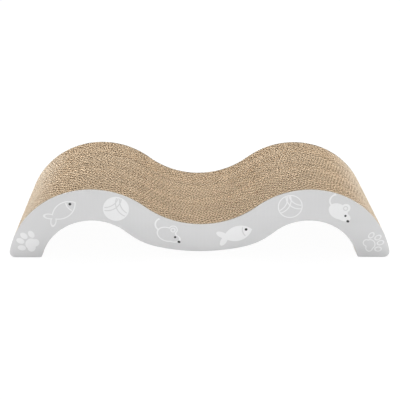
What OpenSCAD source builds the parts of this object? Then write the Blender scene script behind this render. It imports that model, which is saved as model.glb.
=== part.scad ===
// Scratching lounge for cats, in corrugated board.
// Every board is die-cut to the same wave: two humps with an arch under each, and a seat between
// them. The boards stand upright and are glued face to face, with a printed cover on each side.
// X runs along the wave, Y through the stack from the front cover to the back cover, Z is up.
// The origin is on the floor, below the middle of the stack.

/* [Humps] */
// Distance between the crests of the two humps
crest_gap = 344; // [330:2:376]
// Height of a crest above the floor
crest_h = 116; // [110:1:124]
// Radius of a hump, over its crest
hump_r = 136; // [130:1:142]
// Thickness of the wave, square to a hump
band_t = 52; // [44:1:58]

/* [Seat and belly] */
// Height of the seat between the humps
seat_h = 57; // [50:1:66]
// Gap between the belly under the seat and the floor
belly_gap = 10.5; // [6:0.5:16]
// Radius of the belly in the middle
belly_r = 300; // [270:5:340]
// Radius that leads the belly into an arch
hip_r = 110; // [90:5:130]

/* [Feet] */
// Radius of a foot's outer corner
toe_r = 9; // [5:1:14]
// Radius of a foot's inner corner
heel_r = 4; // [2:1:8]

/* [Stack] */
// How many corrugated boards stand between the covers
board_count = 54; // [20:1:58]
// Thickness of a corrugated board
board_t = 4.3; // [3.6:0.1:5]
// Thickness of a printed cover board
cover_t = 3; // [1.5:0.5:5]

/* [Hidden] */
// How far the edge of a drawn arc may lie inside the true arc
arc_sag = 0.1;

// Direction from one point to another, in degrees from X towards Z
function heading(from, to) = atan2(to[1] - from[1], to[0] - from[0]);

// Points along an arc from one heading to another, without the first one
function arc(centre, r, from, to) =
    let (steps = ceil(abs(to - from) / (2 * acos(1 - arc_sag / r))))
    [
        for (i = [1 : steps])
            let (a = from + (to - from) * i / steps)
            centre + r * [cos(a), sin(a)]
    ];

// A hump and its arch share one centre
half_gap = crest_gap / 2;
centre_h = crest_h - hump_r;
hump_c = [half_gap, centre_h];
arch_r = hump_r - band_t;

// The seat's arc touches both humps, which settles its radius
seat_rise = seat_h - centre_h;
seat_r = (pow(half_gap, 2) + pow(seat_rise, 2) - pow(hump_r, 2)) / (2 * (hump_r - seat_rise));
seat_c = [0, seat_h + seat_r];

// A hip touches the belly's arc from inside and the arch from outside, which settles its centre
belly_c = [0, belly_gap + belly_r];
belly_to_hip = belly_r - hip_r;
hump_to_hip = arch_r + hip_r;
belly_to_hump = norm(hump_c - belly_c);
hip_along = (pow(belly_to_hip, 2) - pow(hump_to_hip, 2) + pow(belly_to_hump, 2)) / (2 * belly_to_hump);
hip_across = sqrt(pow(belly_to_hip, 2) - pow(hip_along, 2));
along_dir = (hump_c - belly_c) / belly_to_hump;
across_dir = [along_dir[1], -along_dir[0]];
hip_c = belly_c + hip_along * along_dir + hip_across * across_dir;

// A toe touches its hump from inside, and a heel touches its arch from outside
toe_c = [half_gap + sqrt(pow(hump_r - toe_r, 2) - pow(toe_r - centre_h, 2)), toe_r];
heel_c = [half_gap + sqrt(pow(arch_r + heel_r, 2) - pow(heel_r - centre_h, 2)), heel_r];

// Right half of the wave's outline, clockwise from beside the seat's lowest point to the belly's
right_half = concat(
    arc(seat_c, seat_r, -90, heading(seat_c, hump_c)),
    arc(hump_c, hump_r, heading(hump_c, seat_c), 90),
    arc(hump_c, hump_r, 90, heading(hump_c, toe_c)),
    arc(toe_c, toe_r, heading(hump_c, toe_c), -90),
    [[heel_c[0], 0]],
    arc(heel_c, heel_r, -90, heading(heel_c, hump_c)),
    arc(hump_c, arch_r, heading(hump_c, heel_c), heading(hump_c, hip_c)),
    arc(hip_c, hip_r, heading(hip_c, hump_c), heading(belly_c, hip_c)),
    arc(belly_c, belly_r, heading(belly_c, hip_c), -90)
);
left_half = [for (i = [len(right_half) - 2 : -1 : 0]) [-right_half[i][0], right_half[i][1]]];
outline = concat([[0, seat_h]], right_half, left_half);

// Depth of the whole stack, with its front face here and its back face as far behind the origin
stack_t = board_count * board_t + 2 * cover_t;
front_y = -stack_t / 2;

// Names of the boards, numbered from the front cover
function board_name(i) = str("board_", i < 10 ? "0" : "", i);
board_names = [for (i = [1 : board_count]) board_name(i)];

// A sheet cut to the wave by the die, with its front face at the given depth
module sheet(depth, thickness) {
    translate([0, depth + thickness, 0])
        rotate([90, 0, 0])
            linear_extrude(thickness) polygon(outline);
}

// Printed board that closes the front of the stack
module front_cover() {
    color("gainsboro") sheet(front_y, cover_t);
}

// Printed board that closes the back of the stack
module back_cover() {
    color("gainsboro") sheet(-front_y - cover_t, cover_t);
}

// Corrugated board number i, counted from the front
module board(i) {
    color("burlywood") sheet(front_y + cover_t + (i - 1) * board_t, board_t);
}

front_cover();
back_cover();
for (i = [1 : board_count]) {
    board(i);
}
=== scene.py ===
# %% [markdown]
# # A scratching lounge for cats, in corrugated board
# The real object is a stack of boards. A die cuts every one of them to the same wave, and glue joins them
# face to face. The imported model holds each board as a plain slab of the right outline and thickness. This
# script puts a real corrugated board in the place of each slab: two flat papers with a fluted one between
# them, all cut along the wave, so that the open flutes give the scratching surface its grain.

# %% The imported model, loaded as a fixed frame
import math
import random

import bmesh
import bpy
from mathutils import Matrix, Vector


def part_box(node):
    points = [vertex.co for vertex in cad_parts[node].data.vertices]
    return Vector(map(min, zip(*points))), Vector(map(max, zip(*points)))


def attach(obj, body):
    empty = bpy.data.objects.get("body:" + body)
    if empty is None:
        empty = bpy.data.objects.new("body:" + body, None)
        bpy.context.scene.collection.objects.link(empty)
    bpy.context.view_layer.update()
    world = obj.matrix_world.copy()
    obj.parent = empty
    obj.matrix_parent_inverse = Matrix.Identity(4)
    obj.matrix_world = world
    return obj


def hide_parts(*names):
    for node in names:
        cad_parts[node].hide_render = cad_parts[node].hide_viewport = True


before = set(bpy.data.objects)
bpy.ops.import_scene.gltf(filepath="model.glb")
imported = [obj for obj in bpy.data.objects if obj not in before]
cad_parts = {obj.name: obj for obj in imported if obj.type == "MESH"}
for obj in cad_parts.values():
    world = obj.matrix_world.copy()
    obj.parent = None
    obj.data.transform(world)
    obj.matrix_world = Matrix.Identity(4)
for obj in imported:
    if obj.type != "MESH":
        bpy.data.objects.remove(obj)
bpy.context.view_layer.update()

mm = 0.001

# %% [markdown]
# ## The camera
# The photograph looks slightly down at the front, from a little way off, with a long lens. The frame's
# edges were matched to the edges in the picture, and that gave the numbers below. A long focal length in
# pixels means little perspective: the back of the stack looks only about a seventh smaller than the front.

# %% Camera
picture_px = 400
focal_px = 917.4
look_down = math.radians(22)
look_right = math.radians(1.22)
camera_roll = math.radians(0.47)
camera_reach = 1436.7 * mm
aim_aside = -1.17 * mm
aim_height = 99.07 * mm
sensor_mm = 36
nearest_seen = 10 * mm
furthest_seen = 100

front_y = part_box("front_cover")[0].y
view_line = Vector((
    math.sin(look_right) * math.cos(look_down),
    math.cos(look_right) * math.cos(look_down),
    -math.sin(look_down),
))
level = Vector((math.cos(look_right), -math.sin(look_right), 0))
upright = level.cross(view_line)
camera_right = math.cos(camera_roll) * level + math.sin(camera_roll) * upright
camera_up = math.cos(camera_roll) * upright - math.sin(camera_roll) * level

camera = bpy.data.objects.new("camera", bpy.data.cameras.new("camera"))
bpy.context.scene.collection.objects.link(camera)
bpy.context.scene.camera = camera
camera.data.sensor_width = sensor_mm
camera.data.lens = sensor_mm * focal_px / picture_px
camera.data.clip_start = nearest_seen
camera.data.clip_end = furthest_seen
place = Vector((aim_aside, front_y, aim_height)) - camera_reach * view_line
turned = Matrix((camera_right, camera_up, -view_line)).transposed().to_4x4()
camera.matrix_world = Matrix.Translation(place) @ turned
print("camera at", [round(c, 3) for c in place], "with a lens of", round(camera.data.lens, 1), "mm")

# %% [markdown]
# ## The wave
# Every piece here has the same outline, so the script reads it once from the frame instead of keeping a
# list of points. It takes the triangles that face the front and walks along the edges where they meet the
# side walls.

# %% Outline of the wave
weld = 1e-6
facing_front = -0.9


def outline_of(node):
    """The corners of a node's front face in order, as (x, z) pairs in metres."""
    shape = bmesh.new()
    shape.from_mesh(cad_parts[node].data)
    bmesh.ops.remove_doubles(shape, verts=shape.verts, dist=weld)
    following = {}
    for face in shape.faces:
        if face.normal.y < facing_front:
            for loop in face.loops:
                if loop.link_loop_radial_next.face.normal.y > facing_front:
                    following[loop.vert] = loop.link_loop_next.vert
    first = next(iter(following))
    corners = [first]
    while following[corners[-1]] != first:
        corners.append(following[corners[-1]])
    points = [(corner.co.x, corner.co.z) for corner in corners]
    shape.free()
    return points


wave = outline_of("front_cover")
print("the wave has", len(wave), "corners")

# %% [markdown]
# The wave is made of arcs. A circle through three corners in a row gives back the centre and the radius of an
# arc, and a shader can use them later to tell how deep a place lies below the cut. The outline runs leftwards
# along the top and rightwards along the underside, which tells the two apart.

# %% Arcs of the wave
def circle_through(a, b, c):
    """Centre and radius of the circle through three (x, z) points."""
    (ax, az), (bx, bz) = (a[0] - c[0], a[1] - c[1]), (b[0] - c[0], b[1] - c[1])
    a2, b2, cross = ax * ax + az * az, bx * bx + bz * bz, 2 * (ax * bz - az * bx)
    away = Vector(((a2 * bz - b2 * az) / cross, (b2 * ax - a2 * bx) / cross))
    return away + Vector(c), away.length


def arc_near(x, on_top):
    """The arc that the top or the underside of the wave follows at a place."""
    side = [corner for i, corner in enumerate(wave) if (wave[i - 1][0] > corner[0]) == on_top]
    return circle_through(*sorted(side, key=lambda corner: abs(corner[0] - x))[:3])


crest_x = abs(max(wave, key=lambda corner: corner[1])[0])
hump_centre, hump_r = arc_near(crest_x, True)
seat_centre, seat_r = arc_near(0, True)
arch_centre, arch_r = arc_near(crest_x, False)
belly_centre, belly_r = arc_near(0, False)
for name, r in {"hump": hump_r, "seat": seat_r, "arch": arch_r, "belly": belly_r}.items():
    print(name, "radius", round(r / mm, 1), "mm")

# %% [markdown]
# ## Flat papers
# A flat paper is the outline given a thickness. It is made from rings: copies of the outline at several
# depths, each drawn in by some distance. Two rings make a plain sheet. A few more, drawn in along a quarter
# circle, make the soft edge that a die leaves where it presses into a printed face.

# %% Sheets made from rings
def drawn_in(points, distance):
    """The outline moved inwards by a distance. The points run anticlockwise, seen from the front."""
    moved = []
    for i, (x, z) in enumerate(points):
        before = Vector((x, z)) - Vector(points[i - 1])
        after = Vector(points[(i + 1) % len(points)]) - Vector((x, z))
        inward = before.normalized().orthogonal() + after.normalized().orthogonal()
        inward.normalize()
        moved.append((x + inward.x * distance, z + inward.y * distance))
    return moved


def ringed_sheet(rings):
    """A closed bmesh through rings of (depth, inset), from the front one to the back one."""
    sheet = bmesh.new()
    loops = [
        [sheet.verts.new((x, depth, z)) for x, z in drawn_in(wave, inset)]
        for depth, inset in rings
    ]
    sheet.faces.new(loops[0])
    sheet.faces.new(reversed(loops[-1]))
    for near, far in zip(loops, loops[1:]):
        for i in range(len(near)):
            sheet.faces.new((near[i], near[i - 1], far[i - 1], far[i]))
    return sheet


sample = ringed_sheet([(0, 0), (0.4 * mm, 0)])
print("a flat paper has", len(sample.faces), "faces and", round(sample.calc_volume() / mm**3), "mm3")
sample.free()

# %% [markdown]
# ## Fluted paper
# Inside a corrugated board runs a paper in waves, the flutes. They could be painted on as a bump, but a
# cat's claws, and a camera from close by, meet real tunnels, so they are real here. The paper starts as a
# long rippled blank that is larger than the board, with its flutes upright, so that they open onto the humps
# and the seat. The die is one long prism of the wave, and the cut is a boolean that keeps what lies inside
# it. Flutes are never perfectly even, so a slow sway moves them a little to and fro along the sheet.

# %% A rippled blank
points_per_flute = 16
sway_share = 0.06
sway_length = 70 * mm
blank_spare = 10 * mm


def fluted_blank(front, back, pitch, start, sway, paper_t):
    """A rippled sheet as vertices and faces. Its crests, paper included, reach both depths."""
    left = min(x for x, z in wave) - blank_spare
    right = max(x for x, z in wave) + blank_spare
    top = max(z for x, z in wave) + blank_spare
    swing = (back - front - paper_t) / 2
    turn = 2 * math.pi / pitch
    verts = []
    count = math.ceil((right - left) / pitch * points_per_flute) + 1
    for k in range(count):
        x = left + k * pitch / points_per_flute
        drift = sway_share * pitch * math.sin(2 * math.pi * x / sway_length + sway)
        angle = turn * (x - start - drift)
        depth = (front + back) / 2 + swing * math.sin(angle)
        lean = Vector((-swing * turn * math.cos(angle), 1)).normalized() * paper_t / 2
        # Four corners at each step: the front side's top and bottom, then the back side's
        for side in (-1, 1):
            verts += [(x + side * lean.x, depth + side * lean.y, z) for z in (top, -blank_spare)]
    faces = []
    for k in range(count - 1):
        a, b = 4 * k, 4 * (k + 1)
        faces += [(a, a + 1, b + 1, b), (a + 3, a + 2, b + 2, b + 3)]
        faces += [(a + 2, a, b, b + 2), (a + 1, a + 3, b + 3, b + 1)]
    end = 4 * (count - 1)
    faces += [(0, 2, 3, 1), (end, end + 1, end + 3, end + 2)]
    return verts, faces


sample_verts, sample_faces = fluted_blank(
    front=0, back=4 * mm, pitch=10 * mm, start=0, sway=0, paper_t=0.4 * mm
)
print("a rippled blank has", len(sample_verts), "vertices and", len(sample_faces), "faces")

# %% The die and its cut
die_spare = 5 * mm
stack_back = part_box("back_cover")[1].y
die_mesh = bpy.data.meshes.new("die")
die_shape = ringed_sheet([(front_y - die_spare, 0), (stack_back + die_spare, 0)])
die_shape.to_mesh(die_mesh)
die_shape.free()
die = bpy.data.objects.new("die", die_mesh)
bpy.context.scene.collection.objects.link(die)


def die_cut(verts, faces):
    """What the die leaves of a blank, as a new mesh."""
    blank_mesh = bpy.data.meshes.new("blank")
    blank_mesh.from_pydata(verts, [], faces)
    blank = bpy.data.objects.new("blank", blank_mesh)
    bpy.context.scene.collection.objects.link(blank)
    cut = blank.modifiers.new("cut", "BOOLEAN")
    cut.operation = "INTERSECT"
    cut.solver = "MANIFOLD"
    cut.object = die
    ready = blank.evaluated_get(bpy.context.evaluated_depsgraph_get())
    result = bpy.data.meshes.new_from_object(ready)
    bpy.data.objects.remove(blank)
    bpy.data.meshes.remove(blank_mesh)
    return result


print("the die is", round((stack_back - front_y + 2 * die_spare) / mm, 1), "mm deep")

# %% [markdown]
# ## Node helpers
# Materials below are built from small maths. These helpers add one node each and give back its output, so
# that a formula reads almost like one on paper. A value may be a number or the output of another node.

# %% Helpers for numbers and vectors
def feed(tree, value, socket):
    """Links a node's output to a socket, or writes a plain number there."""
    if isinstance(value, bpy.types.NodeSocket):
        tree.links.new(value, socket)
    else:
        socket.default_value = value


def maths(tree, operation, *values):
    """One operation on numbers, such as ADD or MINIMUM."""
    node = tree.nodes.new("ShaderNodeMath")
    node.operation = operation
    for value, socket in zip(values, node.inputs):
        feed(tree, value, socket)
    return node.outputs["Value"]


def vectors(tree, operation, *values):
    """One operation on vectors. A length or a distance comes out as a number."""
    node = tree.nodes.new("ShaderNodeVectorMath")
    node.operation = operation
    for value, socket in zip(values, node.inputs):
        feed(tree, value, socket)
    return node.outputs["Value" if operation in ("LENGTH", "DISTANCE") else "Vector"]


def turned_about_y(tree, vector, angle):
    """A vector turned in the plane of the wave."""
    node = tree.nodes.new("ShaderNodeVectorRotate")
    node.rotation_type = "Y_AXIS"
    feed(tree, vector, node.inputs["Vector"])
    feed(tree, angle, node.inputs["Angle"])
    return node.outputs["Vector"]


print("helpers so far:", [helper.__name__ for helper in (feed, maths, vectors, turned_about_y)])


# %% Helpers for patterns and colours
def noise(tree, vector, scale, detail, roughness):
    """Soft random values about 0.5."""
    node = tree.nodes.new("ShaderNodeTexNoise")
    for name, value in {
        "Vector": vector, "Scale": scale, "Detail": detail, "Roughness": roughness,
    }.items():
        feed(tree, value, node.inputs[name])
    return node.outputs["Fac"]


def spread(tree, value, low, high, to_low, to_high):
    """Maps a range of values to another, and holds them inside it."""
    node = tree.nodes.new("ShaderNodeMapRange")
    for name, number in {
        "Value": value, "From Min": low, "From Max": high, "To Min": to_low, "To Max": to_high,
    }.items():
        feed(tree, number, node.inputs[name])
    return node.outputs["Result"]


def mixed(tree, share, first, second):
    """A colour between two others."""
    node = tree.nodes.new("ShaderNodeMix")
    node.data_type = "RGBA"
    for value, name in ((share, "Factor_Float"), (first, "A_Color"), (second, "B_Color")):
        feed(tree, value, next(socket for socket in node.inputs if socket.identifier == name))
    return next(socket for socket in node.outputs if socket.identifier == "Result_Color")


print("and for patterns:", [helper.__name__ for helper in (noise, spread, mixed)])


# %% [markdown]
# A pattern that several materials share goes into a node group, as a function goes into a library. The first
# helper makes an empty group with named inputs and outputs, and the second places one in a material.

# %% Helpers for groups
def new_group(name, inputs, outputs):
    """An empty shader node group. Gives the tree, its input sockets and its output sockets."""
    tree = bpy.data.node_groups.new(name, "ShaderNodeTree")
    for label, kind, value in inputs:
        socket = tree.interface.new_socket(label, in_out="INPUT", socket_type="NodeSocket" + kind)
        socket.default_value = value
    for label, kind in outputs:
        tree.interface.new_socket(label, in_out="OUTPUT", socket_type="NodeSocket" + kind)
    return tree, tree.nodes.new("NodeGroupInput").outputs, tree.nodes.new("NodeGroupOutput").inputs


def placed(tree, group, **values):
    """Places a group in a tree. Underscores in the names stand for spaces."""
    node = tree.nodes.new("ShaderNodeGroup")
    node.node_tree = group
    for name, value in values.items():
        feed(tree, value, node.inputs[name.replace("_", " ")])
    return node.outputs


print("and for groups:", [helper.__name__ for helper in (new_group, placed)])

# %% [markdown]
# ## Paper
# Seen close, paper is a felt of fibres: fine streaks that mostly lie one way, and soft clouds where the pulp
# settled thicker. Both are noise, one stretched along the machine's direction and one broad and round. Every
# paper here shares this group, each with its own sizes and strengths.

# %% Paper group
noise_detail = 3.0
fibre_roughness = 0.6
cloud_roughness = 0.5
noise_gain = 4.0


def paper_group():
    tree, given, out = new_group("Paper", [
        ("Place", "Vector", (0, 0, 0)),
        ("Fibre length", "Float", 1.5 * mm),
        ("Fibre width", "Float", 0.15 * mm),
        ("Fibre contrast", "Float", 0.1),
        ("Cloud size", "Float", 30 * mm),
        ("Cloud contrast", "Float", 0.05),
        ("Shift", "Float", 0.0),
    ], [("Shade", "Float"), ("Height", "Float")])
    sizes = tree.nodes.new("ShaderNodeCombineXYZ")
    for name, value in {"X": "Fibre length", "Y": "Fibre width", "Z": "Fibre width"}.items():
        tree.links.new(given[value], sizes.inputs[name])
    in_fibres = vectors(tree, "DIVIDE", given["Place"], sizes.outputs[0])
    fibres = noise(tree, in_fibres, 1.0, noise_detail, fibre_roughness)
    shifted = vectors(tree, "ADD", given["Place"], given["Shift"])
    clouds_per_metre = maths(tree, "DIVIDE", 1.0, given["Cloud size"])
    clouds = noise(tree, shifted, clouds_per_metre, noise_detail, cloud_roughness)
    shade = 1.0
    for value, strength in ((fibres, "Fibre contrast"), (clouds, "Cloud contrast")):
        swing = maths(tree, "MULTIPLY", given[strength], noise_gain)
        part = maths(tree, "MULTIPLY", maths(tree, "SUBTRACT", value, 0.5), swing)
        shade = maths(tree, "ADD", part, shade)
    tree.links.new(shade, out["Shade"])
    tree.links.new(fibres, out["Height"])
    return tree


paper_look = paper_group()
outputs = [socket.name for socket in paper_look.interface.items_tree if socket.in_out == "OUTPUT"]
print("group", paper_look.name, "puts out", outputs)

# %% [markdown]
# ## Depth below the cut
# The kraft gets a painted shade: a flute is pale near its mouth and darker further in, where the shade inside
# it falls. A shader can only paint that if it can tell how deep a place lies, so this group measures the
# distance to the nearest arc of the wave. The wave is symmetrical, which halves the work: the place is first
# folded onto the right half. The group also tells how steep an outer slope is, because the steep ends, where
# side light reaches into the flutes, get less of the painted shade and a paler painted light.

# %% Depth group
arch_start = arch_centre.x - arch_r
seat_end = hump_centre.x * seat_r / (seat_r + hump_r)


def depth_group():
    tree, given, out = new_group(
        "Depth below the cut",
        [("Place", "Vector", (0, 0, 0))],
        [("Depth", "Float"), ("Outer slope", "Float")],
    )
    parts = tree.nodes.new("ShaderNodeSeparateXYZ")
    tree.links.new(given["Place"], parts.inputs[0])
    aside = maths(tree, "ABSOLUTE", parts.outputs["X"])
    folded = tree.nodes.new("ShaderNodeCombineXYZ")
    tree.links.new(aside, folded.inputs["X"])
    tree.links.new(parts.outputs["Z"], folded.inputs["Z"])

    def away_from(centre):
        return vectors(tree, "DISTANCE", folded.outputs[0], (centre.x, 0, centre.y))

    def either(start, inner, outer):
        """The inner value below a place along X, and the outer one beyond it."""
        beyond = maths(tree, "GREATER_THAN", aside, start)
        return maths(tree, "MULTIPLY_ADD", maths(tree, "SUBTRACT", outer, inner), beyond, inner)

    below_hump = maths(tree, "SUBTRACT", hump_r, away_from(hump_centre))
    below_seat = maths(tree, "SUBTRACT", away_from(seat_centre), seat_r)
    above_arch = maths(tree, "SUBTRACT", away_from(arch_centre), arch_r)
    above_belly = maths(tree, "SUBTRACT", belly_r, away_from(belly_centre))
    from_top = either(seat_end, below_seat, below_hump)
    from_below = maths(tree, "MINIMUM", either(arch_start, above_belly, above_arch), parts.outputs["Z"])
    tree.links.new(maths(tree, "MINIMUM", from_top, from_below), out["Depth"])
    slope = spread(tree, aside, hump_centre.x, hump_centre.x + hump_r, 0.0, 1.0)
    tree.links.new(slope, out["Outer slope"])
    return tree


depth_below = depth_group()
known_arcs = [round(r / mm) for r in (hump_r, seat_r, arch_r, belly_r)]
print("group", depth_below.name, "knows arcs of", known_arcs, "mm")

# %% [markdown]
# ## Kraft paper
# Kraft is brown, matt and a little uneven, and each board comes from its own roll, so whole boards differ
# slightly in tone. The same paper shows in two ways: its faces, which line the flutes, and the edges that the
# die leaves, which are paler where the fibres are torn open and speckled where they are crushed. Below the
# cut, both get a painted shade that grows dark with depth and stands in for the shade inside the flutes. On
# the steep outer slopes, where side light reaches into the flutes, most of that painted shade goes and a
# paler, greyer painted light takes its place. Light that comes back out of a flute has met the paper several
# times, so the painted shade turns browner before it turns dark.

# %% Helpers for materials
def new_material(name, rough, shine):
    """A material with a bare Principled shader. Gives the material, its tree and the shader."""
    material = bpy.data.materials.new(name)
    material.use_nodes = True
    shader = material.node_tree.nodes["Principled BSDF"]
    shader.inputs["Roughness"].default_value = rough
    shader.inputs["Specular IOR Level"].default_value = shine
    return material, material.node_tree, shader


def object_place(tree):
    """The place on a piece, in metres from the piece's own origin."""
    return tree.nodes.new("ShaderNodeTexCoord").outputs["Object"]


def tinted(tree, colour, shade):
    """A colour made lighter or darker by a shade about 1."""
    return vectors(tree, "MULTIPLY", colour, shade)


def bounced(tree, colour, times):
    """The colour of light that a paper has thrown back a number of times: a power of its colour."""
    node = tree.nodes.new("ShaderNodeGamma")
    feed(tree, colour, node.inputs["Color"])
    feed(tree, times, node.inputs["Gamma"])
    return node.outputs["Color"]


def bumped(tree, shader, height, depth):
    """Gives a shader a relief, with a height of 1 as deep as the depth."""
    bump = tree.nodes.new("ShaderNodeBump")
    bump.inputs["Distance"].default_value = depth
    tree.links.new(height, bump.inputs["Height"])
    tree.links.new(bump.outputs["Normal"], shader.inputs["Normal"])


print("helpers for materials:", [h.__name__ for h in (new_material, tinted, bounced, bumped)])

# %% Kraft materials
kraft_rough = 0.92
kraft_shine = 0.06
board_tone_swing = 0.05
speckle_size = 3 * mm
# Painted shade: between these two depths below the cut, the kraft darkens to the dark colour that follows
painted_shade_start = 0.08 * mm
painted_shade_end = 0.75 * mm
painted_shade_colour = (0.055, 0.024, 0.007)
extra_bounces = 3
# Painted light on the steep outer slopes: a paler, greyer colour, where it starts and ends, and how much of
# the painted shade it takes away
painted_light_kraft = (0.86, 0.75, 0.61)
painted_light_start = 0.4
painted_light_end = 0.75
painted_light_lift = 0.6


def kraft_material(name, cut, fibre_contrast, speckle, bump_depth):
    """Kraft with its own colour at the cut, a painted shade further in and painted light on the outer slopes.
    """
    material, tree, shader = new_material(name, kraft_rough, kraft_shine)
    where = object_place(tree)
    piece = tree.nodes.new("ShaderNodeObjectInfo").outputs["Random"]
    made = placed(
        tree, paper_look, Place=where, Fibre_contrast=fibre_contrast,
        Cloud_size=speckle_size, Cloud_contrast=speckle, Shift=piece,
    )
    measured = placed(tree, depth_below, Place=where)
    # Painted shade that darkens with depth below the cut, partly lifted by painted light on the steep outer
    # slopes
    inwards = spread(tree, measured["Depth"], painted_shade_start, painted_shade_end, 0.0, 1.0)
    painted_light = spread(tree, measured["Outer slope"], painted_light_start, painted_light_end, 0.0, 1.0)
    painted_shade_kept = maths(tree, "MULTIPLY_ADD", painted_light, -painted_light_lift, 1.0)
    dark = maths(tree, "MULTIPLY", inwards, painted_shade_kept)
    tone = spread(tree, piece, 0.0, 1.0, 1 - board_tone_swing, 1 + board_tone_swing)
    shade = maths(tree, "MULTIPLY", made["Shade"], tone)
    bounces = maths(tree, "MULTIPLY_ADD", dark, extra_bounces, 1.0)
    outside = mixed(tree, painted_light, (*cut, 1), (*painted_light_kraft, 1))
    colour = mixed(tree, dark, bounced(tree, outside, bounces), (*painted_shade_colour, 1))
    tree.links.new(tinted(tree, colour, shade), shader.inputs["Base Color"])
    bumped(tree, shader, made["Height"], bump_depth)
    return material


face_kraft = kraft_material(
    "face_kraft", cut=(0.8, 0.625, 0.43), fibre_contrast=0.14, speckle=0.08, bump_depth=0.03 * mm
)
edge_kraft = kraft_material(
    "edge_kraft", cut=(0.865, 0.687, 0.49), fibre_contrast=0.18, speckle=0.25, bump_depth=0.05 * mm
)
print("kraft materials:", [m.name for m in (face_kraft, edge_kraft)])

# %% [markdown]
# ## The print
# The covers carry a light grey print with white motifs on it, some filled and some only outlined, and a few
# touches of black. An image could hold them, but formulas do it at any size: a shape is a gap, the signed
# distance to its edge, and ink is where the gap is below zero.

# %% Gaps and ink
ink_softness = 0.2 * mm
outline_w = 1.6 * mm
nothing = 9.0


def motif_place(tree, given):
    """The place seen from a motif: its centre at zero, upright, and its half width as 1."""
    moved = vectors(tree, "SUBTRACT", given["Place"], given["Centre"])
    upright_place = turned_about_y(tree, moved, given["Turn"])
    parts = tree.nodes.new("ShaderNodeSeparateXYZ")
    tree.links.new(upright_place, parts.inputs[0])
    flat = tree.nodes.new("ShaderNodeCombineXYZ")
    tree.links.new(maths(tree, "DIVIDE", parts.outputs["X"], given["Size"]), flat.inputs["X"])
    tree.links.new(maths(tree, "DIVIDE", parts.outputs["Z"], given["Size"]), flat.inputs["Z"])
    return flat.outputs[0]


def oval(tree, where, centre, radii, turn=0.0):
    """Gap to an oval, about a true distance near its edge. Centre and radii are (x, z) pairs."""
    moved = vectors(tree, "SUBTRACT", where, (centre[0], 0, centre[1]))
    if turn:
        moved = turned_about_y(tree, moved, turn)
    scaled = vectors(tree, "DIVIDE", moved, (radii[0], 1, radii[1]))
    outside = maths(tree, "SUBTRACT", vectors(tree, "LENGTH", scaled), 1.0)
    return maths(tree, "MULTIPLY", outside, min(radii))


def least(tree, gaps):
    """Gap to several shapes at once."""
    total = gaps[0]
    for gap in gaps[1:]:
        total = maths(tree, "MINIMUM", total, gap)
    return total


def line_of(tree, gap, given):
    """Gap to a line drawn along the edge of a shape."""
    half_w = maths(tree, "DIVIDE", outline_w / 2, given["Size"])
    return maths(tree, "SUBTRACT", maths(tree, "ABSOLUTE", gap), half_w)


def inked(tree, gap, given):
    """Ink mask of a gap: 1 inside, 0 outside, with a soft edge."""
    real = maths(tree, "MULTIPLY", gap, given["Size"])
    return spread(tree, real, -ink_softness / 2, ink_softness / 2, 1.0, 0.0)


print("outlines are", round(outline_w / mm, 1), "mm wide")

# %% [markdown]
# Each motif is a group of its own, so the print can place it as often as it likes, at any spot, turn and
# size. Ovals make a paw and a mouse, two discs that overlap make a fish, and rings make a ball of yarn. The
# numbers in a drawing are in half widths of the motif, and its turns are in radians.

# %% A group for a motif
def motif_group(name, draw):
    """A group for one motif. draw gives the gaps of its body, its lines and its black marks."""
    tree, given, out = new_group(name, [
        ("Place", "Vector", (0, 0, 0)),
        ("Centre", "Vector", (0, 0, 0)),
        ("Turn", "Float", 0.0),
        ("Size", "Float", 20 * mm),
        ("Filled", "Float", 1.0),
    ], [("White", "Float"), ("Grey", "Float"), ("Black", "Float")])
    where = motif_place(tree, given)
    body, lines, marks = draw(tree, where, given)
    filled = maths(tree, "MULTIPLY", inked(tree, body, given), given["Filled"])
    inner = inked(tree, lines, given)
    drawn = maths(tree, "MAXIMUM", inked(tree, line_of(tree, body, given), given), inner)
    tree.links.new(maths(tree, "MAXIMUM", filled, drawn), out["White"])
    tree.links.new(maths(tree, "MULTIPLY", inner, given["Filled"]), out["Grey"])
    tree.links.new(inked(tree, marks, given), out["Black"])
    return tree


print("a motif group puts out masks for white, grey and black ink")


# %% Paw and fish
def draw_paw(tree, where, given):
    toes = [
        oval(tree, where, (side * x, z), (0.19, 0.27), -side * turn)
        for side in (-1, 1)
        for x, z, turn in ((0.27, 0.55, 0.12), (0.72, 0.14, 0.45))
    ]
    lobes = [oval(tree, where, (side * 0.27, -0.5), (0.3, 0.27)) for side in (-1, 1)]
    pad = oval(tree, where, (0, -0.28), (0.44, 0.4))
    return least(tree, toes + lobes + [pad]), nothing, nothing


def draw_fish(tree, where, given):
    halves = [oval(tree, where, (0.1, side * 0.62), (1.1, 1.1)) for side in (-1, 1)]
    lens = maths(tree, "MAXIMUM", *halves)
    fins = [oval(tree, where, (-0.88, side * 0.2), (0.34, 0.16), -side * 0.75) for side in (-1, 1)]
    gill = line_of(tree, oval(tree, where, (1.05, 0), (0.62, 0.62)), given)
    gill_inset = 0.08
    gill = maths(tree, "MAXIMUM", gill, maths(tree, "ADD", lens, gill_inset))
    eye = oval(tree, where, (0.68, 0.1), (0.09, 0.09))
    return least(tree, [lens] + fins), gill, eye


motifs = {
    "paw": motif_group("Paw print", draw_paw),
    "fish": motif_group("Fish", draw_fish),
}
print("motifs:", sorted(motifs))


# %% Ball of yarn and mouse
def draw_yarn(tree, where, given):
    ball = oval(tree, where, (0, 0), (0.85, 0.85))
    strands = least(tree, [
        line_of(tree, oval(tree, where, (side * x, z), (1.0, 1.0)), given)
        for side, x, z in ((-1, 0.75, 0.75), (-1, 0.95, 0.95), (1, 0.9, 0.55), (1, 1.15, 0.75))
    ])
    strand_inset = 0.05
    return ball, maths(tree, "MAXIMUM", strands, maths(tree, "ADD", ball, strand_inset)), nothing


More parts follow.
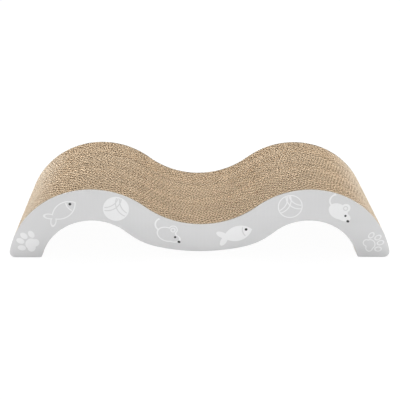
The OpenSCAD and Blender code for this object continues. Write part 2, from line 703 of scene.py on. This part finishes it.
def draw_mouse(tree, where, given):
    tail = line_of(tree, oval(tree, where, (-0.6, 0.45), (0.42, 0.42)), given)
    tail = maths(tree, "MAXIMUM", tail, oval(tree, where, (-1.0, 0.25), (0.5, 0.5)))
    # The tail is drawn thinner than a line, so that the lines along its two edges meet
    tail_thinning = 0.015
    tail = maths(tree, "ADD", tail, tail_thinning)
    ear = oval(tree, where, (0.2, 0.4), (0.26, 0.26))
    body = [
        oval(tree, where, (-0.05, -0.05), (0.62, 0.46)),
        oval(tree, where, (0.42, -0.14), (0.46, 0.26), 0.2),
    ]
    inner_ear = line_of(tree, oval(tree, where, (0.2, 0.38), (0.13, 0.13)), given)
    eye = oval(tree, where, (0.52, -0.02), (0.075, 0.075))
    nose = oval(tree, where, (0.88, -0.22), (0.1, 0.08))
    return least(tree, body + [ear, tail]), inner_ear, least(tree, [eye, nose])


motifs["yarn"] = motif_group("Ball of yarn", draw_yarn)
motifs["mouse"] = motif_group("Mouse", draw_mouse)
print("motifs:", sorted(motifs))

# %% [markdown]
# ## The printed cover
# The printed face is coated paper: smooth, slightly glossy and almost even in tone. The flutes behind it show
# through as faint ripples, which printers call washboarding. Where the die cut the cover, its edge shows the
# white paper below the ink, and behind it the grey, recycled papers that nobody sees otherwise.

# %% Inks and layout of the print
cover_rough = 0.5
cover_shine = 0.4
ground_ink = (0.683, 0.683, 0.687)
white_ink = (0.86, 0.861, 0.865)
black_ink = (0.015, 0.015, 0.017)
cover_pitch = 6.2 * mm
washboard_depth = 0.01 * mm
fibre_relief = 0.5
layout = [
    # motif, x, z, turn in degrees, half width, filled
    ("paw", -274, 27, 55, 20, 1),
    ("fish", -217, 80, 36, 25, 0),
    ("yarn", -133, 84, -10, 23, 1),
    ("mouse", -52, 41, -24, 25, 0),
    ("fish", 57, 41, 18, 25, 1),
    ("yarn", 141, 88, 20, 22, 0),
    ("mouse", 219, 80, -36, 25, 1),
    ("paw", 277, 25, -62, 19, 0),
]
print("print holds", len(layout), "motifs")


# %% The printed face
def printed_material():
    material, tree, shader = new_material("printed_face", cover_rough, cover_shine)
    where = object_place(tree)
    made = placed(
        tree, paper_look, Place=where, Fibre_contrast=0.008, Cloud_size=60 * mm, Cloud_contrast=0.01,
    )
    colour = tinted(tree, ground_ink, made["Shade"])
    for motif, x, z, turn, half_w, filled in layout:
        drawn = placed(
            tree, motifs[motif], Place=where, Centre=(x * mm, 0, z * mm), Turn=math.radians(turn),
            Size=half_w * mm, Filled=filled,
        )
        colour = mixed(tree, drawn["White"], colour, (*white_ink, 1))
        colour = mixed(tree, drawn["Grey"], colour, (*ground_ink, 1))
        colour = mixed(tree, drawn["Black"], colour, (*black_ink, 1))
    tree.links.new(colour, shader.inputs["Base Color"])
    parts = tree.nodes.new("ShaderNodeSeparateXYZ")
    tree.links.new(where, parts.inputs[0])
    ripple = maths(tree, "SINE", maths(tree, "MULTIPLY", parts.outputs["X"], 2 * math.pi / cover_pitch))
    fine = maths(tree, "MULTIPLY", made["Height"], fibre_relief)
    bumped(tree, shader, maths(tree, "ADD", ripple, fine), washboard_depth)
    return material


printed_face = printed_material()
print("material", printed_face.name, "has", len(printed_face.node_tree.nodes), "nodes")


# %% The bare papers of a cover
bare_relief = 0.03 * mm


def bare_paper_material(name, tone):
    material, tree, shader = new_material(name, kraft_rough, kraft_shine)
    made = placed(tree, paper_look, Place=object_place(tree), Fibre_contrast=0.06, Cloud_contrast=0.03)
    tree.links.new(tinted(tree, tone, made["Shade"]), shader.inputs["Base Color"])
    bumped(tree, shader, made["Height"], bare_relief)
    return material


white_paper = bare_paper_material("white_paper", (0.8, 0.77, 0.72))
grey_paper = bare_paper_material("grey_paper", (0.4, 0.375, 0.345))
print("bare papers:", [m.name for m in (white_paper, grey_paper)])

# %% [markdown]
# ## Corrugated boards
# A board is three papers: a liner in front, the fluted one and a liner behind. They become one mesh, with
# one material for the faces of the papers and one for the cut edges. A face of a paper, flat or fluted, looks
# well along the stack, and a cut edge looks square to it, which tells the two apart. Every piece made here
# rides on the body and stands for its node of the imported model. A board has four material slots: the
# front liner's face and edge, which are the print and its white paper on a cover, and then the faces and
# edges of the papers behind it.

# %% Papers into pieces
liner_t = 0.42 * mm
flute_paper_t = 0.42 * mm
glue_bite = 0.03 * mm
soft_angle = math.radians(48)
edge_normal = 0.3


def finished(name, shape, materials, node):
    """Turns a bmesh into a piece that stands for a node, with soft shading on its curves."""
    shape.normal_update()
    for face in shape.faces:
        face.smooth = True
    for edge in shape.edges:
        edge.smooth = edge.is_manifold and edge.calc_face_angle() < soft_angle
    mesh = bpy.data.meshes.new(name)
    shape.to_mesh(mesh)
    shape.free()
    for material in materials:
        mesh.materials.append(material)
    piece = bpy.data.objects.new(name, mesh)
    bpy.context.scene.collection.objects.link(piece)
    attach(piece, "root")
    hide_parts(node)
    return piece


def add_paper(shape, mesh, face_slot, edge_slot):
    """Adds a paper to a board, with one material slot for its faces and one for its cut edges."""
    known = len(shape.faces)
    shape.from_mesh(mesh)
    shape.faces.ensure_lookup_table()
    shape.normal_update()
    for face in shape.faces[known:]:
        face.material_index = edge_slot if abs(face.normal.y) < edge_normal else face_slot


print("papers are", round(liner_t / mm, 2), "mm thick")


# %% One board
front_face, front_edge, inner_face, inner_edge = range(4)


def as_mesh(shape):
    """Turns a bmesh into a mesh, and frees it."""
    mesh = bpy.data.meshes.new("paper")
    shape.to_mesh(mesh)
    shape.free()
    return mesh


def corrugated(front, back, pitch, start, sway, front_rings):
    """A bmesh of a whole board. Its front liner goes through the rings of (depth, inset)."""
    shape = bmesh.new()
    add_paper(shape, as_mesh(ringed_sheet(front_rings)), front_face, front_edge)
    back_liner = as_mesh(ringed_sheet([(back - liner_t, 0), (back, 0)]))
    add_paper(shape, back_liner, inner_face, inner_edge)
    crests = front + liner_t - glue_bite, back - liner_t + glue_bite
    blank = fluted_blank(*crests, pitch, start, sway, flute_paper_t)
    add_paper(shape, die_cut(*blank), inner_face, inner_edge)
    return shape


print("the fluted paper bites", round(glue_bite / mm, 2), "mm into each liner, as glue would hold it")

# %% [markdown]
# The length of one flute comes from the photograph. The grain on top repeats every 4.75 mm, and a flute opens
# once to the front and once to the back, so it is twice as long. The die cuts board after board from one long
# sheet, so the flutes step along by some share of a flute from each board to the next, and the other way once
# a board has been turned round. That draws the slanting lines seen across the stack. No two boards lie quite
# flush either, so each strays a little aside and upwards.

# %% All the boards, front to back
board_nodes = sorted(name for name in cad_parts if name.startswith("board_"))
flute_pitch = 9.5 * mm
flute_step = 0.39
step_stray = 0.03
turned_share = 0.08
stray_aside = 0.2 * mm
stray_up = 0.3 * mm
dice = random.Random(11)
face_count = 0
start = 0.0
way = 1
for node in board_nodes:
    low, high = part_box(node)
    front, back = low.y, high.y
    if dice.random() < turned_share:
        way = -way
    start += (way * flute_step + dice.gauss(0, step_stray)) * flute_pitch
    sway = dice.uniform(0, 2 * math.pi)
    shape = corrugated(front, back, flute_pitch, start, sway, [(front, 0), (front + liner_t, 0)])
    stray = Vector((dice.uniform(-stray_aside, stray_aside), 0, dice.uniform(0, stray_up)))
    bmesh.ops.translate(shape, vec=stray, verts=shape.verts)
    face_count += len(shape.faces)
    papers = [face_kraft, edge_kraft, face_kraft, edge_kraft]
    finished("flutes_" + node, shape, papers, node)
print(len(board_nodes), "boards with", face_count, "faces")

# %% [markdown]
# ## Covers
# The covers are boards too, thinner and white, with the print on the outside. The die comes from the printed
# side, so its edge is pressed round. The back cover is the same board turned to face the other way: it is
# made in the front one's place and turned half round the upright axis, which also turns its print.

# %% Front and back cover
die_edge_r = 0.45 * mm
edge_steps = 3


def cover(name, node, turned_round):
    """A printed board in the front cover's place, or turned round into the back one's."""
    low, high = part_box("front_cover")
    press = [math.pi / 2 * (1 - step / edge_steps) for step in range(edge_steps + 1)]
    rings = [
        (low.y + die_edge_r * (1 - math.sin(a)), die_edge_r * (1 - math.cos(a)))
        for a in press
    ]
    rings.append((low.y + liner_t + die_edge_r, 0))
    shape = corrugated(low.y + die_edge_r, high.y, cover_pitch, 0.0, 0.0, rings)
    papers = [printed_face, white_paper, grey_paper, grey_paper]
    piece = finished(name, shape, papers, node)
    if turned_round:
        piece.matrix_world = Matrix.Rotation(math.pi, 4, "Z")
    return piece


covers = [
    cover("printed_front_cover", "front_cover", False),
    cover("printed_back_cover", "back_cover", True),
]
bpy.data.objects.remove(die)
print("covers:", [c.name for c in covers])

# %% [markdown]
# ## Floor and light
# The photograph was taken on white, lit softly from all round. A large pale floor catches a faint shadow, and
# to the camera it also glows, so that it reaches white without more light on the boards. The world gives the
# even light. One large lamp stands above and behind, which leaves the flutes' mouths dark against their pale
# edges. A low one in front lights the printed cover without reaching into the flutes, and two at the sides
# light the outer slopes but pass over the seat, which lies in the lee of the humps.

# %% Helpers for floor and world
def seen_by_camera(tree):
    """1 for what the camera sees, directly or in a gloss, and 0 for light that falls on other things."""
    rays = tree.nodes.new("ShaderNodeLightPath").outputs
    mirrored = maths(tree, "MAXIMUM", rays["Is Glossy Ray"], rays["Is Transmission Ray"])
    return maths(tree, "MAXIMUM", rays["Is Camera Ray"], mirrored)


def mixed_shaders(tree, share, first, second):
    """The first shader where the share is 0, and the second where it is 1."""
    node = tree.nodes.new("ShaderNodeMixShader")
    tree.links.new(share, node.inputs[0])
    tree.links.new(first, node.inputs[1])
    tree.links.new(second, node.inputs[2])
    return node.outputs[0]


def diffuse(tree, grey):
    """A matt grey shader."""
    node = tree.nodes.new("ShaderNodeBsdfDiffuse")
    node.inputs["Color"].default_value = (grey, grey, grey, 1)
    return node.outputs[0]


print("stage helpers:", [helper.__name__ for helper in (seen_by_camera, mixed_shaders, diffuse)])

# %% Floor
floor_size = 60.0
floor_gap = 0.2 * mm
floor_grey = 0.8
floor_catch = 0.08
floor_glow = 0.97

floor_material = bpy.data.materials.new("pale_floor")
floor_material.use_nodes = True
floor_tree = floor_material.node_tree
floor_tree.nodes.clear()
glow = floor_tree.nodes.new("ShaderNodeEmission")
glow.inputs["Strength"].default_value = floor_glow
bright = floor_tree.nodes.new("ShaderNodeAddShader")
floor_tree.links.new(diffuse(floor_tree, floor_catch), bright.inputs[0])
floor_tree.links.new(glow.outputs[0], bright.inputs[1])
floor_out = floor_tree.nodes.new("ShaderNodeOutputMaterial")
floor_look = mixed_shaders(
    floor_tree, seen_by_camera(floor_tree), diffuse(floor_tree, floor_grey), bright.outputs[0]
)
floor_tree.links.new(floor_look, floor_out.inputs["Surface"])

half = floor_size / 2
floor_mesh = bpy.data.meshes.new("floor")
floor_mesh.from_pydata(
    [(x, y, -floor_gap) for x, y in ((-half, -half), (half, -half), (half, half), (-half, half))],
    [],
    [(0, 1, 2, 3)],
)
floor_mesh.materials.append(floor_material)
floor = bpy.data.objects.new("floor", floor_mesh)
bpy.context.scene.collection.objects.link(floor)
print("floor of", floor_size, "m, shadow catch", floor_catch)

# %% World
world_light = 0.325
world = bpy.data.worlds.new("studio")
world.use_nodes = True
bpy.context.scene.world = world
world_tree = world.node_tree
world_tree.nodes.clear()
backgrounds = []
for strength in (world_light, 1.0):
    background = world_tree.nodes.new("ShaderNodeBackground")
    background.inputs["Color"].default_value = (1, 1, 1, 1)
    background.inputs["Strength"].default_value = strength
    backgrounds.append(background.outputs[0])
world_out = world_tree.nodes.new("ShaderNodeOutputWorld")
world_tree.links.new(
    mixed_shaders(world_tree, seen_by_camera(world_tree), *backgrounds), world_out.inputs["Surface"]
)
print("world light", world_light)


# %% Lamps
def softbox(name, place, size, power):
    """A square lamp that faces the middle of the stack."""
    lamp = bpy.data.objects.new(name, bpy.data.lights.new(name, "AREA"))
    lamp.data.size = size
    lamp.data.energy = power
    lamp.location = place
    lamp.rotation_euler = (-Vector(place)).to_track_quat("-Z", "Y").to_euler()
    bpy.context.scene.collection.objects.link(lamp)


lamps = [
    # name, place in metres, size in metres, power in watts
    ("lamp_above", (0, 0.9, 2.0), 1.2, 54),
    ("lamp_in_front", (0, -2.5, 0.15), 1.0, 30),
    ("lamp_left", (-2.0, 0.1, 0.2), 0.4, 16.5),
    ("lamp_right", (2.0, 0.1, 0.2), 0.4, 15.5),
]
for lamp in lamps:
    softbox(*lamp)
bpy.context.scene.view_settings.view_transform = "Standard"
print("lamps:", {name: power for name, place, size, power in lamps}, "in watts")
